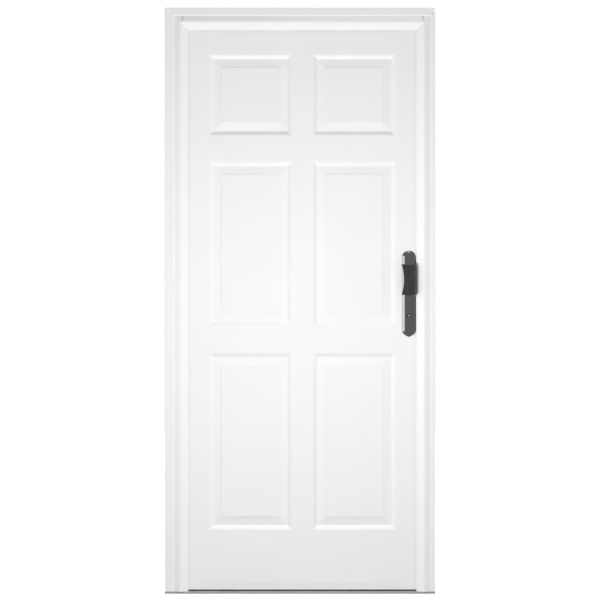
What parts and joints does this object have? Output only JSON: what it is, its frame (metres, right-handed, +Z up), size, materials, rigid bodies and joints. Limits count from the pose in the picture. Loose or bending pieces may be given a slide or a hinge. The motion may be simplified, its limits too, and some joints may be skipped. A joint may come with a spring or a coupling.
{
  "type": "panelled front door",
  "caption": "White pressed-steel six-panel entrance door hung in its folded frame, opening inwards, with a dark pull plate, roller catch and deadbolt.",
  "frame": {"origin": "middle of the threshold's underside, on the floor, midway through the frame's depth", "axes": "+X right as seen from outside, towards the lock; +Y into the building; +Z up"},
  "size_m": [0.95, 0.15, 2.057],
  "materials": {
    "threshold": "mill extruded",
    "white_enamel": "satin powder coat",
    "seal_rubber": "extruded",
    "zinc_steel": "zinc plated",
    "hinge_steel": "satin",
    "foam": "rigid foam",
    "dark_nickel": "polished black nickel",
    "bright_steel": "ground",
    "lock_brass": "nickel-washed",
    "roller_nylon": "moulded"
  },
  "bodies": {
    "frame": {"sill": "threshold", "hinge_jamb": "white_enamel", "lock_jamb": "white_enamel", "frame_head": "white_enamel", "hinge_seal": "seal_rubber", "lock_seal": "seal_rubber", "head_seal": "seal_rubber", "strike_plate": "zinc_steel", "strike_box": "zinc_steel", "strike_screws": "zinc_steel", "hinge_frame_1": "hinge_steel", "hinge_frame_2": "hinge_steel", "hinge_frame_3": "hinge_steel", "hinge_pin_1": "hinge_steel", "hinge_pin_2": "hinge_steel", "hinge_pin_3": "hinge_steel", "hinge_frame_screws": "zinc_steel"},
    "leaf": {"outer_skin": "white_enamel", "inner_skin": "white_enamel", "hinge_edge_channel": "zinc_steel", "lock_edge_channel": "zinc_steel", "top_channel": "zinc_steel", "bottom_channel": "zinc_steel", "foam_core": "foam", "lock_reinforcement": "zinc_steel", "bottom_sweep": "seal_rubber", "hinge_leaf_1": "hinge_steel", "hinge_leaf_2": "hinge_steel", "hinge_leaf_3": "hinge_steel", "hinge_leaf_screws": "zinc_steel", "outer_plate": "dark_nickel", "outer_grip": "dark_nickel", "outer_grip_screws": "zinc_steel", "inner_plate": "dark_nickel", "inner_grip": "dark_nickel", "inner_grip_screws": "zinc_steel", "plate_bolts": "dark_nickel", "lock_case": "zinc_steel", "lock_cover": "zinc_steel", "lock_faceplate": "bright_steel", "faceplate_screws": "bright_steel", "lock_cylinder": "lock_brass", "cylinder_screw": "bright_steel", "latch_spring": "bright_steel"},
    "catch": {"latch_carriage": "bright_steel", "roller_pin": "bright_steel"},
    "roller": {"latch_roller": "roller_nylon"},
    "bolt": {"deadbolt": "bright_steel"},
    "turn": {"thumbturn_knob": "dark_nickel", "turn_spindle": "zinc_steel", "lock_cam": "zinc_steel"},
    "plug": {"key_plug": "lock_brass"}
  },
  "joints": [
    {"name": "leaf_swing", "type": "hinge", "parent": "frame", "child": "leaf", "pos_m": [-0.4055, 0.043, 1], "axis": [0, 0, 1], "range_deg": [0, 110]},
    {"name": "catch_slide", "type": "slide", "parent": "leaf", "child": "catch", "axis": [-1, 0, 0], "range_m": [0, 0.005], "stiffness_N_per_m": 2000, "springref_m": -0.004, "deforming": ["latch_spring"]},
    {"name": "roller_spin", "type": "hinge", "parent": "catch", "child": "roller", "pos_m": [0.417, 0.011, 1.067], "axis": [0, 0, 1], "continuous": true},
    {"name": "turn_knob", "type": "hinge", "parent": "leaf", "child": "turn", "pos_m": [0.3835, 0.011, 0.977], "axis": [0, 1, 0], "range_deg": [0, 90]},
    {"name": "bolt_throw", "type": "slide", "parent": "leaf", "child": "bolt", "axis": [1, 0, 0], "range_m": [0, 0.02]},
    {"name": "plug_turn", "type": "hinge", "parent": "leaf", "child": "plug", "pos_m": [0.3835, 0, 0.977], "axis": [0, 1, 0], "range_deg": [0, 90]}
  ],
  "couplings": [
    {"joint": "turn_knob", "follows": "bolt_throw", "rad_per_m": 78.54}
  ]
}
